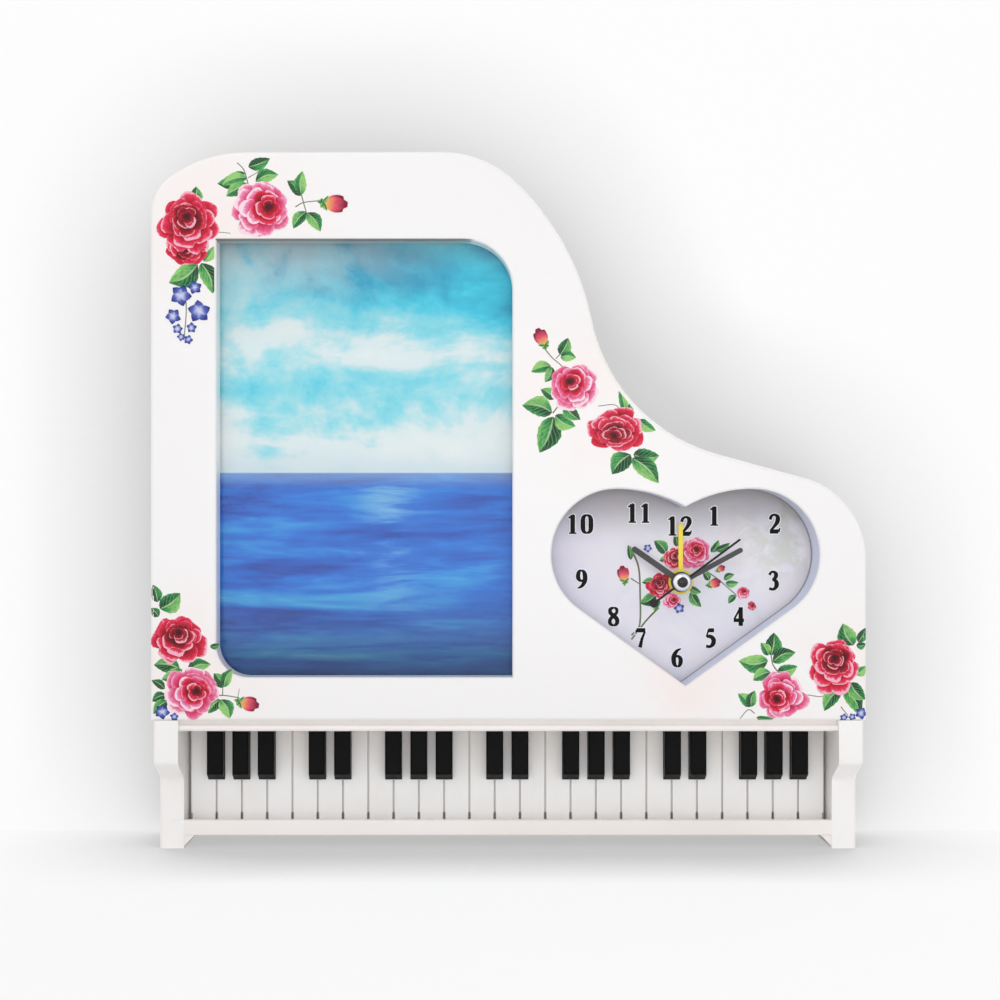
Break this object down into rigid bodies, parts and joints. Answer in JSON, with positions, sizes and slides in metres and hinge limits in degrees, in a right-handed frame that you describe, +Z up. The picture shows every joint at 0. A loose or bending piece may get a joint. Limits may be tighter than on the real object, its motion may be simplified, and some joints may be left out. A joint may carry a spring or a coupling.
{
  "type": "photo frame clock",
  "caption": "Grand-piano-shaped table frame with an arched photo window, a heart-shaped alarm clock dial, a keyboard between its feet and a photo door behind.",
  "frame": {"origin": "on the table, under the middle of the case's bounding box", "axes": "+X to the right as seen from the front, +Y from the front to the back, +Z up"},
  "size_m": [0.2396, 0.04, 0.2354],
  "materials": {
    "shell_white": "polished white moulding with printed flowers",
    "cover_white": "fine matt white moulding",
    "key_white": "warm white moulding",
    "key_black": "glossy black moulding",
    "clear": "clear acrylic",
    "print": "glossy photographic paper",
    "board": "grey board",
    "dial_face": "printed dial",
    "hand_grey": "dark grey paint",
    "hand_black": "black paint",
    "hand_yellow": "yellow paint",
    "cap_chrome": "polished",
    "screw_steel": "plain",
    "movement_black": "fine matt black moulding",
    "gear_white": "natural acetal",
    "magnet": "sintered magnet",
    "core_steel": "soft iron sheet",
    "copper": "enamelled copper wire",
    "bobbin": "natural nylon",
    "circuit": "solder-masked board",
    "can": "drawn can",
    "sounder": "brass disc",
    "cell": "plain sleeve",
    "contact": "nickel plated",
    "knob_black": "fluted black moulding",
    "switch_red": "red moulding"
  },
  "bodies": {
    "case": {"front_shell": "shell_white", "rear_cover": "cover_white", "cover_screws": "screw_steel", "photo_pane": "clear", "photo_print": "print", "backing_board": "board", "keybed": "shell_white", "keybed_screws": "screw_steel", "fallboard_rail": "shell_white", "key_slip": "shell_white", "left_cheek": "shell_white", "right_cheek": "shell_white", "cheek_screws": "screw_steel", "white_keys": "key_white", "black_keys": "key_black", "dial": "dial_face", "movement_base": "movement_black", "movement_screws": "screw_steel", "movement_cover": "movement_black", "movement_cover_screws": "screw_steel", "middle_plate": "gear_white", "train_bridge": "gear_white", "bridge_screws": "screw_steel", "stator": "core_steel", "coil_core": "core_steel", "coil_bobbin": "bobbin", "coil_winding": "copper", "circuit_board": "circuit", "quartz_crystal": "can", "buzzer": "sounder", "battery": "cell", "positive_contact": "contact", "negative_contact": "contact"},
    "photo_door_body": {"photo_door": "cover_white"},
    "second_body": {"second_wheel": "gear_white", "second_hand": "hand_black", "hub_cap": "cap_chrome"},
    "intermediate_body": {"intermediate_wheel": "gear_white"},
    "rotor_body": {"rotor": "magnet"},
    "third_body": {"third_wheel": "gear_white"},
    "centre_body": {"centre_wheel": "gear_white"},
    "minute_body": {"cannon_pinion": "gear_white", "minute_hand": "hand_grey"},
    "setting_body": {"minute_wheel": "gear_white", "time_knob": "knob_black"},
    "hour_body": {"hour_wheel": "gear_white", "hour_hand": "hand_grey"},
    "alarm_body": {"alarm_wheel": "gear_white", "alarm_hand": "hand_yellow"},
    "alarm_setting_body": {"alarm_pinion": "gear_white", "alarm_knob": "knob_black"},
    "switch_body": {"alarm_switch": "switch_red"}
  },
  "joints": [
    {"name": "photo_door_pull", "type": "slide", "parent": "case", "child": "photo_door_body", "axis": [0, 1, 0], "range_m": [0, 0.045]},
    {"name": "second_spin", "type": "hinge", "parent": "case", "child": "second_body", "pos_m": [0.0593, 0, 0.0909], "axis": [0, 1, 0], "continuous": true},
    {"name": "intermediate_spin", "type": "hinge", "parent": "case", "child": "intermediate_body", "pos_m": [0.05067, 0, 0.08776], "axis": [0, 1, 0], "continuous": true},
    {"name": "rotor_spin", "type": "hinge", "parent": "case", "child": "rotor_body", "pos_m": [0.04439, 0, 0.08831], "axis": [0, 1, 0], "continuous": true},
    {"name": "third_spin", "type": "hinge", "parent": "case", "child": "third_body", "pos_m": [0.0648, 0, 0.09802], "axis": [0, 1, 0], "continuous": true},
    {"name": "centre_spin", "type": "hinge", "parent": "case", "child": "centre_body", "pos_m": [0.0593, 0, 0.0909], "axis": [0, 1, 0], "continuous": true},
    {"name": "minute_spin", "type": "hinge", "parent": "case", "child": "minute_body", "pos_m": [0.0593, 0, 0.0909], "axis": [0, 1, 0], "continuous": true},
    {"name": "setting_spin", "type": "hinge", "parent": "case", "child": "setting_body", "pos_m": [0.05129, 0, 0.09691], "axis": [0, 1, 0], "continuous": true},
    {"name": "hour_spin", "type": "hinge", "parent": "case", "child": "hour_body", "pos_m": [0.0593, 0, 0.0909], "axis": [0, 1, 0], "continuous": true},
    {"name": "alarm_spin", "type": "hinge", "parent": "case", "child": "alarm_body", "pos_m": [0.0593, 0, 0.0909], "axis": [0, 1, 0], "continuous": true},
    {"name": "alarm_setting_spin", "type": "hinge", "parent": "case", "child": "alarm_setting_body", "pos_m": [0.06927, 0, 0.08795], "axis": [0, 1, 0], "continuous": true},
    {"name": "alarm_switch_slide", "type": "slide", "parent": "case", "child": "switch_body", "axis": [1, 0, 0], "range_m": [0, 0.003]}
  ],
  "couplings": [
    {"joint": "intermediate_spin", "follows": "second_spin", "ratio": -5},
    {"joint": "rotor_spin", "follows": "second_spin", "ratio": 30},
    {"joint": "third_spin", "follows": "second_spin", "ratio": -0.13333},
    {"joint": "centre_spin", "follows": "second_spin", "ratio": 0.016667},
    {"joint": "setting_spin", "follows": "minute_spin", "ratio": -0.33333},
    {"joint": "hour_spin", "follows": "minute_spin", "ratio": 0.083333},
    {"joint": "alarm_setting_spin", "follows": "alarm_spin", "ratio": -4}
  ]
}
